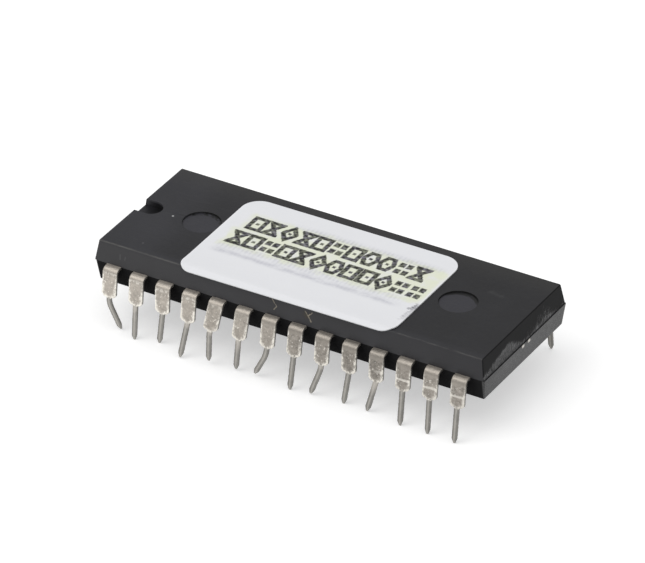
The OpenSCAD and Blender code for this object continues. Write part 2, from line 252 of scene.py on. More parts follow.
class Look:
    """A material built from wires in millimetres of the row frame."""

    def __init__(self, name):
        self.material = bpy.data.materials.new(name)
        self.material.use_nodes = True
        self.tree = self.material.node_tree
        self.tree.nodes.clear()
        self.output = self.tree.nodes.new("ShaderNodeOutputMaterial")

    def plug(self, socket, value):
        if isinstance(value, Wire):
            self.tree.links.new(value.socket, socket)
        elif isinstance(value, (tuple, list, Vector)) and len(socket.default_value) == 4:
            socket.default_value = (*value[:3], 1.0)
        else:
            socket.default_value = value

    def node(self, kind, settings=None, inputs=None, output=0):
        made = self.tree.nodes.new(kind)
        for name, value in (settings or {}).items():
            if name == "stops":
                ramp = made.color_ramp
                while len(ramp.elements) < len(value):
                    ramp.elements.new(0.5)
                for element, (place, colour) in zip(ramp.elements, value):
                    element.position = place
                    element.color = (*colour, 1.0)
            else:
                setattr(made, name, value)
        for name, value in (inputs or {}).items():
            socket = made.inputs[name] if isinstance(name, int) else self.input_of(made, name)
            self.plug(socket, value)
        found = made.outputs[output] if isinstance(output, int) else self.output_of(made, output)
        return Wire(self, found)

    def input_of(self, made, name):
        return next(s for s in made.inputs if s.identifier == name or s.name == name and s.enabled)

    def output_of(self, made, name):
        return next(s for s in made.outputs if s.identifier == name or s.name == name and s.enabled)

    def place(self):
        """The point on the surface in millimetres of the row frame, as a vector wire."""
        metres = self.node("ShaderNodeTexCoord", output="Object")
        return self.node(
            "ShaderNodeVectorMath", {"operation": "SCALE"}, {0: metres, "Scale": 1 / MM})

    def parts(self, vector):
        split = self.node("ShaderNodeSeparateXYZ", inputs={0: vector})
        return [Wire(self, s) for s in split.socket.node.outputs]

    def vector(self, x, y, z):
        return self.node("ShaderNodeCombineXYZ", inputs={"X": x, "Y": y, "Z": z})

    def stretched(self, vector, scale):
        return self.node(
            "ShaderNodeVectorMath", {"operation": "MULTIPLY"}, {0: vector, 1: Vector(scale)})

    def noise(self, vector, per_mm, detail=2.0, rough=0.5, distortion=0.0):
        return self.node(
            "ShaderNodeTexNoise", {"noise_dimensions": "3D"},
            {"Vector": vector, "Scale": per_mm, "Detail": detail, "Roughness": rough,
             "Distortion": distortion})

    def cells(self, vector, per_mm, feature="F1", output="Distance"):
        return self.node(
            "ShaderNodeTexVoronoi", {"feature": feature},
            {"Vector": vector, "Scale": per_mm}, output)

    def mix(self, share, a, b):
        return self.node(
            "ShaderNodeMix", {"data_type": "RGBA"},
            {"Factor_Float": share, "A_Color": a, "B_Color": b}, "Result_Color")

    def pick(self, draw, choices):
        """The first value whose limit is over the draw, from a list of limits and values."""
        picked = choices[-1][1]
        for limit, value in reversed(choices[:-1]):
            chosen = draw < limit
            picked = chosen * value + (1.0 - chosen) * picked
        return picked

    def scaled(self, colour, factor):
        """A colour made lighter or darker by a factor that may vary."""
        return self.node(
            "ShaderNodeVectorMath", {"operation": "SCALE"}, {0: colour, "Scale": factor})

    def bump(self, height, depth_mm, strength=1.0):
        return self.node(
            "ShaderNodeBump", inputs={"Height": height, "Distance": depth_mm * MM, "Strength": strength})

    def attribute(self, name):
        return self.node("ShaderNodeAttribute", {"attribute_name": name}, output="Fac")

    def surface(self, **values):
        """A Principled shader, with its sockets named as in the editor but for underscores."""
        return self.node(
            "ShaderNodeBsdfPrincipled",
            inputs={name.replace("_", " "): value for name, value in values.items()})

    def finish(self, surface):
        self.tree.links.new(surface.socket, self.output.inputs["Surface"])
        return self.material


def spot(x, y, middle_x, middle_y, radius, soft):
    """A round mark on a face, 1 inside and 0 outside."""
    far = ((x - middle_x) * (x - middle_x) + (y - middle_y) * (y - middle_y)).root()
    return far.rise(radius + soft, radius)


def stroke(x, y, start, end, half_width, soft):
    """A straight mark between two points on a face, 1 inside and 0 outside."""
    along = Vector(end) - Vector(start)
    reach = along.length
    along = along / reach
    from_start_x = x - start[0]
    from_start_y = y - start[1]
    t = (from_start_x * along[0] + from_start_y * along[1]).most(0.0).least(reach)
    miss_x = from_start_x - t * along[0]
    miss_y = from_start_y - t * along[1]
    far = (miss_x * miss_x + miss_y * miss_y).root()
    return far.rise(half_width + soft, half_width)


# Meshes.

def object_of(name, mesh):
    piece = bpy.data.objects.new(name, mesh)
    bpy.context.scene.collection.objects.link(piece)
    return piece


def mesh_of(name, bm):
    mesh = bpy.data.meshes.new(name)
    bm.to_mesh(mesh)
    bm.free()
    return mesh


def modified(piece, steps):
    """The piece's mesh after modifiers, each given as a kind and its settings."""
    for kind, settings in steps:
        modifier = piece.modifiers.new(kind.title(), kind)
        for name, value in settings.items():
            setattr(modifier, name, value)
    depsgraph = bpy.context.evaluated_depsgraph_get()
    depsgraph.update()
    made = bpy.data.meshes.new_from_object(piece.evaluated_get(depsgraph))
    piece.modifiers.clear()
    old = piece.data
    piece.data = made
    bpy.data.meshes.remove(old)
    return piece


def to_metres(piece):
    piece.data.transform(Matrix.Scale(MM, 4))
    piece.data.update()


def shade(piece, sharp_angle=None):
    piece.data.shade_smooth()
    if sharp_angle is not None:
        piece.data.set_sharp_from_angle(angle=math.radians(sharp_angle))


def dress(piece, material, slot, *nodes):
    """Gives a finished piece its material and ties it to the frame."""
    piece.data.materials.clear()
    piece.data.materials.append(material)
    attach(piece, "root")
    if nodes:
        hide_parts(*nodes)


def remove(piece):
    mesh = piece.data
    bpy.data.objects.remove(piece)
    bpy.data.meshes.remove(mesh)


# Moulded body.

def mould_half(length, width, height, end_draft, side_draft, radius):
    """One drafted half that stands on the parting plane, with its free edges rounded."""
    bm = bmesh.new()
    bmesh.ops.create_cube(bm, size=1.0)
    bmesh.ops.scale(bm, vec=(length, width, height), verts=bm.verts)
    bmesh.ops.translate(bm, vec=(0, 0, height / 2), verts=bm.verts)
    for vert in bm.verts:
        if vert.co.z > height / 2:
            vert.co.x -= math.copysign(height * math.tan(end_draft), vert.co.x)
            vert.co.y -= math.copysign(height * math.tan(side_draft), vert.co.y)
    free = [e for e in bm.edges if max(v.co.z for v in e.verts) > height / 2]
    bmesh.ops.bevel(
        bm, geom=free, offset=radius, segments=3, profile=0.5, affect="EDGES",
        clamp_overlap=True, material=-1)
    return bm


def moulded_halves(body):
    radius = body.edge_radius / MM
    length = body.length / MM
    width = body.width / MM
    parting = body.parting / MM
    upper = mould_half(
        length, width, body.top / MM - parting, body.end_draft_top, body.side_draft, radius)
    bmesh.ops.translate(upper, vec=(0, 0, parting), verts=upper.verts)
    lower = mould_half(
        length, width, parting - body.underside / MM, body.end_draft_bottom, body.side_draft, radius)
    bmesh.ops.scale(lower, vec=(1, 1, -1), verts=lower.verts)
    bmesh.ops.reverse_faces(lower, faces=lower.faces)
    bmesh.ops.translate(lower, vec=(body.mould_offset / MM, 0, parting), verts=lower.verts)
    return object_of("body_upper", mesh_of("body_upper", upper)), object_of("body_lower", mesh_of("body_lower", lower))


NOTCH_RADIUS = 1.0
NOTCH_LENGTH = 2.4
NOTCH_SHIFT = -0.12
NOTCH_DEPTH = 0.62
RECESS_RADIUS = 1.65
RECESS_DEPTH = 0.12
RECESS_REACH = 12.2


def round_cutter(x, y, z, radius, height, drop):
    """An upright cylinder that reaches from drop below z to height above it."""
    bm = bmesh.new()
    bmesh.ops.create_cone(
        bm, cap_ends=True, segments=64, radius1=radius, radius2=radius, depth=height + drop)
    bmesh.ops.translate(bm, vec=(x, y, z + (height - drop) / 2), verts=bm.verts)
    return bm


def notch_cutter(body):
    """The slot of the index notch: half a cylinder whose flat side is drawn out past the end of the body."""
    length = body.length / MM
    middle = -length / 2 + NOTCH_LENGTH - NOTCH_RADIUS
    bm = round_cutter(middle, NOTCH_SHIFT, body.top / MM, NOTCH_RADIUS, 1.0, NOTCH_DEPTH)
    for vert in bm.verts:
        if vert.co.x < middle - NOTCH_RADIUS * 0.02:
            vert.co.y = NOTCH_SHIFT + math.copysign(NOTCH_RADIUS, vert.co.y - NOTCH_SHIFT)
            vert.co.x = middle - 2 * NOTCH_LENGTH
    bmesh.ops.remove_doubles(bm, verts=bm.verts, dist=1e-4)
    return bm


def cutters(body):
    top = body.top / MM
    underside = body.underside / MM
    made = [notch_cutter(body)]
    for side in (-1, 1):
        made.append(round_cutter(side * RECESS_REACH, 0, top, RECESS_RADIUS, 1.0, RECESS_DEPTH))
        made.append(round_cutter(side * RECESS_REACH, 0, underside, RECESS_RADIUS, RECESS_DEPTH, 1.0))
    return made


def end_wear_and_shade_masks(look, x, y, z, body):
    """Masks of the +X end: its upper half, which takes painted shade where it is not worn, its lower half, which takes
    a painted reflection of the floor, and the ragged pale wear over the parting line.
    """
    parting = body.parting / MM
    over = z - parting
    to_end = body.length / MM / 2 - x - over * math.tan(body.end_draft_top)
    upper = to_end.rise(0.07, 0.03) * over.rise(-0.02, 0.02)
    lower = x.rise(body.length / MM / 2 - 0.2, body.length / MM / 2 - 0.12) * over.rise(0.02, -0.02)
    reach = look.node("ShaderNodeValToRGB", {"stops": WEAR_HEIGHTS}, {"Fac": (y + 7.0) / 14.0})
    ragged = look.noise(look.vector(x, y * 3.4 - z * 2.6, z * 0.9), 2.2, 6.0, 0.8) - 0.5
    level = look.parts(reach)[0] * 1.6 + ragged * 1.3
    wear = (level - over).rise(-0.12, 0.14)
    whiskers = look.noise(look.vector(x, y * 5.0 - z * 3.4, z), 2.3, 4.0, 0.7)
    far = y.rise(-0.5, 1.0)
    scratched = (level * (1.0 + far * 1.5) - over).rise(-0.1, 0.3) * far * whiskers.rise(0.5, 0.62) * 0.8
    return upper, lower, (wear * (whiskers.rise(0.36, 0.56) * 0.85 + 0.15)).most(scratched)


# Height of the wear over the parting line along the +X end, front to back, as a share of 1.6 mm.
WEAR_HEIGHTS = [
    (0.0, (0.2,) * 3), (0.13, (0.42,) * 3), (0.33, (0.72,) * 3), (0.41, (0.45,) * 3),
    (0.47, (0.12,) * 3), (0.6, (0.12,) * 3), (0.76, (0.3,) * 3), (0.9, (0.05,) * 3),
]
# Fine cracks in the front wall, as chains of points along X and Z.
CRACKS = [
    [(-1.88, 7.53), (-1.48, 7.29), (-1.01, 6.66), (-1.2, 6.36)],
    [(1.67, 7.06), (1.98, 6.71), (2.3, 6.28)],
    [(2.35, 7.08), (2.12, 6.86), (1.98, 6.71)],
]


def plastic_look(body):
    look = Look("mould_compound")
    p = look.place()
    x, y, z = look.parts(p)
    top = body.top / MM
    parting = body.parting / MM
    grain = look.noise(p, 9.0, 3.0, 0.6)
    cloud = look.noise(p, 0.22, 3.0, 0.5)
    fine = look.noise(p, 2.2, 4.0, 0.6)
    rubbed = look.noise(look.stretched(p, (0.5, 2.5, 2.5)), 1.8, 4.0, 0.6)
    upper, lower, wear = end_wear_and_shade_masks(look, x, y, z, body)
    underside = body.underside / MM
    below = z.rise(parting + 0.01, parting - 0.03) * z.rise(underside + 0.02, underside + 0.14)

    # Painted light: the body is made lighter towards its left end, where the key light falls, and the second line
    # darkens the rest of the top by up to 42 %, leaving the left end and the front lighter.
    lightness = 1.0 + (cloud - 0.5) * 0.9 + (fine - 0.5) * 0.3 - x * 0.009
    lightness = lightness * (1.0 - x.rise(-15.5, -11.5) * y.rise(-6.4, -5.6) * 0.42)
    colour = look.scaled(body.plastic[:], lightness)
    colour = look.mix(y.rise(3.5, 6.5) * 0.3, colour, (0.040, 0.038, 0.034))
    front = y.rise(-6.5, -6.62)
    # Painted light: the front wall is made lighter, most at its left end, where the key light from the front left falls
    # on it.
    colour = look.mix(front * (0.3 - x * 0.009), colour, (0.055, 0.054, 0.054))
    far_left = spot(x, y, -RECESS_REACH, 0, RECESS_RADIUS - 0.12, 0.05)
    far_right = spot(x, y, RECESS_REACH, 0, RECESS_RADIUS - 0.12, 0.05)
    in_recess = far_left.most(far_right) * z.rise(top - 0.07, top - 0.09) * z.rise(top - 0.3, top - 0.2)
    colour = look.mix(in_recess, colour, (0.028, 0.0275, 0.035))
    # Painted shade: a ragged near-black crescent on the far rim of each ejector recess, where its wall stands in shade.
    rim = (look.noise(p, 2.8, 4.0, 0.8) + x.rise(-5.0, 5.0) * 0.08).rise(0.44, 0.52) * y.rise(0.3, 0.8)
    recess_rim_shade = (spot(x, y, -RECESS_REACH, 0, RECESS_RADIUS + 0.02, 0.03)
            + spot(x, y, RECESS_REACH, 0, RECESS_RADIUS + 0.02, 0.03)
            - spot(x, y, -RECESS_REACH, -0.36, RECESS_RADIUS - 0.12, 0.08)
            - spot(x, y, RECESS_REACH, -0.36, RECESS_RADIUS - 0.12, 0.08)).most(0.0)
    colour = look.mix(recess_rim_shade * rim * z.rise(top - 0.3, top - 0.2) * 0.95, colour, (0.003, 0.003, 0.003))

    front_edge = body.width / MM / 2 - (top - parting) * math.tan(body.side_draft)
    edge_far = ((y + front_edge) * (y + front_edge) + (z - top) * (z - top)).root()
    # Lighter along the front top edge: rubbing wear and a painted highlight, strongest on the left where the key light
    # falls.
    edge = edge_far.rise(0.14, 0.04) * (rubbed.rise(0.35, 0.7) * 0.7 + x.rise(-8.0, -13.0) * 0.5).least(1.0)
    colour = look.mix(edge * 0.8, colour, (0.085, 0.083, 0.08))

    speckle = look.noise(p, 12.0, 3.0, 0.7).rise(0.45, 0.72)
    crack = None
    for chain in CRACKS:
        for start, end in zip(chain, chain[1:]):
            line = stroke(x + (fine - 0.5) * 0.35, z + (grain - 0.5) * 0.12, start, end, 0.012, 0.06)
            crack = line if crack is None else crack.most(line)
    broken = look.noise(p, 3.1, 2.0, 0.5).rise(0.25, 0.45)
    stain = spot(x, z, 1.85, 6.75, 0.12, 0.4) * look.noise(p, 2.6, 3.0, 0.6).rise(0.35, 0.6)
    colour = look.mix(stain * front * 0.7, colour, (0.045, 0.036, 0.022))
    colour = look.mix(crack * front * broken * (0.4 + speckle * 0.6), colour, (0.42, 0.37, 0.28))
    on_top = z.rise(top - 0.05, top - 0.02)
    dust = spot(x, y, -14.77, -0.37, 0.04, 0.09) * 1.3 + spot(x, y, -14.69, -5.23, 0.03, 0.12) * 0.12
    dust = dust + stroke(x, y + (fine - 0.5) * 0.8, (13.72, 2.58), (14.9, 2.46), 0.03, 0.3) * 0.03
    scuffs = stroke(x, z, (-16.02, 6.9), (-16.0, 6.5), 0.02, 0.07) + stroke(x, z, (-15.5, 6.8), (-15.55, 6.55), 0.02, 0.07)
    marks = dust.least(1.0) * on_top + scuffs.least(1.0) * front * rubbed.rise(0.3, 0.6) * 0.07
    colour = look.mix(marks, colour, (0.42, 0.42, 0.42))

    # Painted reflection: the lower half of the +X end gets a mid grey for the bright floor it faces and reflects,
    # lightest in front of the middle, with fine speckle of abraded wear in it.
    ground = look.scaled((0.064, 0.064, 0.065), (0.8 + speckle * 1.3) * (0.62 + y.rise(-7.0, -2.5) * 0.38 - y.rise(0.0, 6.0) * 0.22))
    colour = look.mix(lower, colour, ground)
    streaky = look.noise(look.vector(x, y * 7.0 - z * 4.0, z * 1.2), 1.6, 4.0, 0.7).rise(0.3, 0.7)
    colour = look.mix(upper * wear, colour, look.scaled((0.12, 0.12, 0.122), 0.2 + speckle * 0.7 + streaky * (0.85 + y.rise(0.0, 1.5) * 0.5)))
    rough = 0.46 + (fine - 0.5) * 0.2 + (grain - 0.5) * 0.1 - rubbed.rise(0.5, 0.75) * 0.06
    texture = grain + rubbed * 0.4 + speckle * (upper * wear + lower) * 1.5
    plain = look.surface(
        Base_Color=colour, Roughness=rough, Specular_IOR_Level=0.36,
        Normal=look.bump(texture, 0.012, 0.5))
    # Painted shade: a near-black surface with little reflection, put where the body lies in shade.
    shade_dark_surface = look.surface(
        Base_Color=look.scaled((0.0085, 0.0085, 0.009), 0.7 + fine * 0.6 + rubbed * 0.3), Roughness=0.3 + fine * 0.1,
        Specular_IOR_Level=0.04, Normal=look.bump(grain + rubbed, 0.006, 0.4))
    # Painted shade: the inside of the index notch is darkened, most at its deep end away from the open end.
    half_notch = NOTCH_RADIUS + 0.03
    notch = ((abs(y - NOTCH_SHIFT).rise(half_notch, half_notch - 0.02)) * x.rise(-15.99, -16.01)
             * z.rise(top - 0.1, top - 0.2) * z.rise(top - NOTCH_DEPTH - 0.1, top - NOTCH_DEPTH - 0.05))
    # Painted shade: a dark line along the ledge at the parting line of the +X end.
    ledge_shade = abs(z - parting - 0.01).rise(0.04, 0.005) * x.rise(18.0, 18.2) * 0.7
    notch = notch * (0.35 + x.rise(-18.0, -16.9) * 0.55)
    # Painted shade: the lower walls under the parting line, the unworn upper half of the +X end, the notch and the
    # ledge line take the near-black surface.
    shaded = (upper * (1.0 - wear)).most(below * (1.0 - lower)).most(notch).most(ledge_shade)
    return look.finish(look.node("ShaderNodeMixShader", inputs={0: shaded, 1: plain, 2: shade_dark_surface}))


class CHIP_OT_body(bpy.types.Operator):
    """Builds the moulded body with its notch, ejector marks, worn surface and painted light and shade"""
    bl_idname = "chip.body"
    bl_label = "Moulded body"

    def execute(self, context):
        body = context.scene.chip_body
        piece, lower = moulded_halves(body)
        cutting = [object_of("cutter", mesh_of("cutter", bm)) for bm in cutters(body)]
        steps = [("BOOLEAN", {"operation": "UNION", "object": lower, "solver": "EXACT"})]
        steps += [
            ("BOOLEAN", {"operation": "DIFFERENCE", "object": c, "solver": "EXACT"}) for c in cutting]
        steps.append(
            ("BEVEL", {"width": 0.02, "segments": 2, "limit_method": "ANGLE",
                       "angle_limit": math.radians(50)}))
        modified(piece, steps)
        for spare in [lower, *cutting]:
            remove(spare)
        piece.name = "moulded_body"
        to_metres(piece)
        shade(piece, 40)
        modifier = piece.modifiers.new("Even shading", "WEIGHTED_NORMAL")
        modifier.keep_sharp = True
        dress(piece, plastic_look(body), "mould_compound", "package_body")
        return {"FINISHED"}


# Tinned leads.

PITCH = 2.54
LEAD_HALF_WIDTH = 0.685
CORNER_RADIUS = 0.34


def lead_middle(node):
    """Place of a lead along X: leads 1 to 14 run towards +X and leads 15 to 28 come back."""
    number = int(node[-2:])
    place = number if number <= 14 else 29 - number
    return (place - 7.5) * PITCH


def exposed_lead(node, body):
    """The part of a lead outside the plastic and a little way into it, as a closed mesh in millimetres."""
    bm = bmesh.new()
    bm.from_mesh(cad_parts[node].data)
    bmesh.ops.scale(bm, vec=(1 / MM, 1 / MM, 1 / MM), verts=bm.verts)
    bmesh.ops.remove_doubles(bm, verts=bm.verts, dist=1e-4)
    front = sum(v.co.y for v in bm.verts) < 0
    side = -1 if front else 1
    inside = 0.4
    wall = side * (body.width / MM / 2 - inside)
    cut = bmesh.ops.bisect_plane(
        bm, geom=bm.verts[:] + bm.edges[:] + bm.faces[:], dist=1e-5,
        plane_co=(0, wall, 0), plane_no=(0, side, 0), clear_inner=True)
    rim = [e for e in cut["geom_cut"] if isinstance(e, bmesh.types.BMEdge)]
    bmesh.ops.holes_fill(bm, edges=rim, sides=0)
    bmesh.ops.recalc_face_normals(bm, faces=bm.faces)
    return bm


def place_along(mesh, middle_x, seat):
    """Each point's place on its lead: across from -1 to 1, and down from 0 at the top to 1 at the shoulders."""
    points = [vert.co for vert in mesh.vertices]
    top = max(p.z for p in points)
    wide = [p.z for p in points if abs(p.x - middle_x) > 0.5 and p.z > seat - 0.35]
    shoulder = min(wide)
    slices = {}
    for p in points:
        if p.z < shoulder:
            slices.setdefault(round(p.z * 8), []).append(p.x)
    across = []
    down = []
    for p in points:
        if p.z < shoulder:
            row = slices[round(p.z * 8)]
            across.append((p.x - (min(row) + max(row)) / 2) / 0.23)
        else:
            across.append((p.x - middle_x) / LEAD_HALF_WIDTH)
        down.append((top - p.z) / (top - shoulder))
    return across, down


def round_corners(mesh, middle_x, seat):
    """Rounds the two lower corners of the wide part, as the tin leaves them."""
    wide = [v.co.z for v in mesh.vertices if abs(v.co.x - middle_x) > 0.5 and v.co.z > seat - 0.35]
    shoulder = min(wide)
    for vert in mesh.vertices:
        out = abs(vert.co.x - middle_x) - (LEAD_HALF_WIDTH - CORNER_RADIUS)
        below = CORNER_RADIUS - (vert.co.z - shoulder)
        if out > 0 and 0 < below <= CORNER_RADIUS * 1.05:
            squeeze = max(out, below) / math.hypot(out, below)
            vert.co.x -= math.copysign(out * (1 - squeeze), vert.co.x - middle_x)
            vert.co.z += below * (1 - squeeze)


def lumpy(mesh, height, across, down):
    """Moves each point along its normal by a slow noise, and raises the bead of tin along the lower edges."""
    moves = []
    for vert, a, d in zip(mesh.vertices, across, down):
        slow = noise.noise(vert.co * 1.7)
        quick = noise.noise(vert.co * 5.0 + Vector((7.0, 3.0, 5.0)))
        bead = max(0.0, 1 - abs(abs(a) - 0.8) / 0.25) * min(max((d - 0.4) / 0.2, 0.0), 1.0) if d < 1 else 0.0
        moves.append(vert.normal * height * (0.7 * slow + 0.5 * quick + 1.2 * bead))
    for vert, move in zip(mesh.vertices, moves):
        vert.co += move


def edge_of(mesh, middle_x, seat):
    """1 along the outer edge of the lead's wide part and 0 away from it, for the painted highlight along that edge."""
    wide = [v.co.z for v in mesh.vertices if abs(v.co.x - middle_x) > 0.5 and v.co.z > seat - 0.35]
    shoulder = min(wide)
    values = []
    for vert in mesh.vertices:
        in_x = LEAD_HALF_WIDTH - abs(vert.co.x - middle_x)
        in_z = vert.co.z - shoulder
        corner = math.hypot(max(CORNER_RADIUS - in_x, 0.0), max(CORNER_RADIUS - in_z, 0.0))
        if abs(vert.co.x - middle_x) < 0.25:
            in_z = max(in_z, 0.09)
        inset = CORNER_RADIUS - corner if corner > 0 else min(in_x, in_z)
        if in_z < -0.05:
            inset = 1.0
        values.append(min(max((0.16 - inset) / 0.1, 0.0), 1.0))
    return values


def write_attribute(mesh, name, values):
    mesh.attributes.new(name, "FLOAT", "POINT").data.foreach_set("value", values)


def tin_look(leads):
    look = Look("tinned_lead")
    p = look.place()
    x, y, z = look.parts(p)
    across = look.attribute("across")
    down = look.attribute("down")
    side = look.attribute("side")
    out = abs(across)
    patches = look.noise(p, 1.5, 3.0, 0.6)
    mottle = look.noise(p, 4.5, 4.0, 0.65)
    specks = look.noise(p, 11.0, 2.0, 0.5)
    pin = down.rise(0.985, 1.06)

    # Painted light: the tin is made lighter towards the left of the row, where the key light falls. The mask named
    # duller darkens the leads right of the middle.
    duller = x.rise(-3.0, 2.0) * x.rise(14.0, 9.0)
    wide = look.scaled(
        leads.tin[:], 0.80 - x * 0.011 - duller * 0.2 + (patches - 0.5) * 0.55 + (mottle - 0.5) * 1.0
        + (specks - 0.5) * 0.35)
    cap = down.rise(0.3, 0.2)
    wide = look.mix(cap * 0.7, wide, look.scaled(leads.tin[:], 0.93 - x * 0.002 - duller * 0.1 + (mottle - 0.5) * 0.35))
    pink = look.noise(p, 0.9, 2.0, 0.5).rise(0.4, 0.65) * down.rise(0.3, 0.5)
    wide = look.mix(pink * 0.2, wide, (0.38, 0.35, 0.315))
    # Painted highlights and glints, mixed in below as pale near-white colour: spots across the bend, the beads along
    # the lower edges, the shoulders, the left rims, the outer edge line, a ridge on the last leads and small flecks,
    # where the tin catches the light.
    bend_highlight = down.rise(0.1, 0.16) * down.rise(0.26, 0.19) * mottle.rise(0.42, 0.6) * x.rise(0.0, -9.0)
    wavy = out + (mottle - 0.5) * 0.22
    bead = wavy.rise(0.55, 0.8) * down.rise(0.42, 0.66) * (0.35 + mottle.rise(0.35, 0.6) * 0.8)
    shoulder_highlight = (down + (mottle - 0.5) * 0.2).rise(0.84, 0.95) * out.rise(0.2, 0.45)
    glint_flecks = look.noise(p, 5.0, 3.0, 0.6).rise(0.6, 0.68)
    left_rim_highlight = across.rise(-0.74, -0.92) * down.rise(0.1, 0.3) * (0.5 + mottle.rise(0.4, 0.6) * 0.5)
    edge_highlight = look.attribute("edge") * (0.12 + mottle.rise(0.42, 0.6) * 0.75) * down.rise(0.1, 0.3)
    ridge_highlight = abs(down + (patches - 0.5) * 0.16 - 0.62).rise(0.06, 0.015) * x.rise(8.0, 10.5) * out.rise(1.0, 0.8)
    pale = bend_highlight * 0.6 + bead * 0.6 + shoulder_highlight * 0.5 + glint_flecks * (1.0 - cap) * 0.7 + left_rim_highlight * 0.5 + edge_highlight + ridge_highlight * 0.7
    wide = look.mix(pale.least(1.0), wide, look.scaled((0.95, 0.91, 0.83), 0.95 - x * 0.008))
    # Painted shade: the tin is darkened across the bend, more on the right leads, against the highlight the bend
    # catches.
    bend = down.rise(0.0, 0.12) * down.rise(0.34, 0.14)
    wide = look.scaled(wide, 1.0 - bend * (0.1 + x.rise(-9.0, 0.0) * 0.1))
    # Painted shade: the side faces of the wide part, which face away from the lamps, are darkened.
    wide = look.mix(side * 0.75, wide, (0.16, 0.155, 0.145))
    # Painted sheen: a lighter streak down the middle of each pin, and the pins slightly lighter towards the left of the
    # row.
    pin_centre_sheen = out.rise(0.55, 0.1)
    thin = look.scaled(
        leads.pin_tin[:], 0.66 + pin_centre_sheen * 0.42 - x * 0.005 + (patches - 0.5) * 0.5 + (mottle - 0.5) * 0.25)
    # Painted highlight: a pale shine at the root of each pin, broken up by noise.
    root = down.rise(1.6, 1.1) * look.noise(p, 0.6, 1.0, 0.5).rise(0.5, 0.6)
    thin = look.mix(root * 0.6, thin, (0.6, 0.56, 0.51))
    colour = look.mix(pin, wide, thin)
    rough = 0.42 + (patches - 0.5) * 0.2 + (mottle - 0.5) * 0.3
    return look.finish(look.surface(
        Base_Color=colour, Metallic=0.6, Roughness=rough,
        Normal=look.bump(mottle + specks * 0.4, 0.03, 0.7)))


class CHIP_OT_leads(bpy.types.Operator):
    """Builds the 28 tinned leads with their soft edges and uneven tin"""
    bl_idname = "chip.leads"
    bl_label = "Tinned leads"

    def execute(self, context):
        leads = context.scene.chip_leads
        body = context.scene.chip_body
        material = tin_look(leads)
        for node in LEAD_NODES:
            piece = object_of(f"tinned_{node}", mesh_of(node, exposed_lead(node, body)))
            modified(piece, [
                ("REMESH", {"mode": "VOXEL", "voxel_size": leads.grain / MM, "adaptivity": 0.0}),
                ("SMOOTH", {"factor": 0.5, "iterations": 3}),
            ])
            if not piece.data.vertices:
                raise RuntimeError(f"{node} lost its mesh")
            middle_x = lead_middle(node)
            across, down = place_along(piece.data, middle_x, leads.seat / MM)
            # Share of each point on a side face of the wide part, for the painted shade there.
            side = [max(0.0, abs(v.normal.x) - 0.6) / 0.4 * (d < 1) for v, d in zip(piece.data.vertices, down)]
            round_corners(piece.data, middle_x, leads.seat / MM)
            lumpy(piece.data, leads.unevenness / MM, across, down)
            edge = edge_of(piece.data, middle_x, leads.seat / MM)
            for name, values in (("across", across), ("down", down), ("side", side), ("edge", edge)):
                write_attribute(piece.data, name, values)
            to_metres(piece)
            shade(piece)
            dress(piece, material, "tinned_lead", node)
        return {"FINISHED"}


# Cut ends of the lead frame.

def frame_metal_look():
    look = Look("lead_frame")
    p = look.place()
    streaks = look.noise(look.stretched(p, (1, 9, 1)), 3.0, 3.0, 0.6)
    grain = look.noise(p, 14.0, 2.0, 0.5)
    colour = look.scaled((0.56, 0.54, 0.5), 0.85 + streaks * 0.4)
    return look.finish(look.surface(
        Base_Color=colour, Metallic=0.95, Roughness=0.3 + grain * 0.2,
        Normal=look.bump(grain, 0.006, 0.4)))


def epoxy_look():
    look = Look("silver_epoxy")
    p = look.place()
    flakes = look.cells(p, 11.0)
    colour = look.scaled((0.5, 0.5, 0.5), 0.7 + flakes * 0.5)
    return look.finish(look.surface(
        Base_Color=colour, Metallic=0.5, Roughness=0.45 + flakes * 0.3,
        Normal=look.bump(flakes, 0.006, 0.5)))


def silicon_look():
    look = Look("silicon")
    p = look.place()
    x, y, z = look.parts(p)
    blocks = look.cells(look.stretched(p, (1, 1, 0)), 1.4, output="Color")
    shade_of = look.parts(blocks)[0]
    colour = look.mix(shade_of, (0.05, 0.06, 0.11), (0.13, 0.10, 0.12))
    return look.finish(look.surface(
        Base_Color=colour, Metallic=0.3, Roughness=0.12 + shade_of * 0.1,
        Normal=look.bump(shade_of, 0.002, 0.3)))


def gold_look():
    look = Look("gold_wire")
    p = look.place()
    drawn = look.noise(p, 20.0, 2.0, 0.5)
    return look.finish(look.surface(
        Base_Color=look.scaled((0.9, 0.66, 0.24), 0.85 + drawn * 0.3), Metallic=1.0,
        Roughness=0.18 + drawn * 0.12, Normal=look.bump(drawn, 0.002, 0.3)))


class CHIP_OT_inside(bpy.types.Operator):
    """Gives the lead frame, whose tie bars show at both ends, and the sealed pieces their metals"""
    bl_idname = "chip.inside"
    bl_label = "Frame and die"

    def execute(self, context):
        looks = {
            "die_paddle": frame_metal_look(),
            "die_attach": epoxy_look(),
            "die": silicon_look(),
            "bond_wires": gold_look(),
        }
        for node, material in looks.items():
            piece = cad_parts[node]
            piece.data.materials.clear()
            piece.data.materials.append(material)
        return {"FINISHED"}


# Paper label.

FOLD_START = 0.2
FOLD_RADIUS = 0.6
FOLD_LIFT = 0.06
LIFT_LENGTH = 1.6
CELL = 0.25


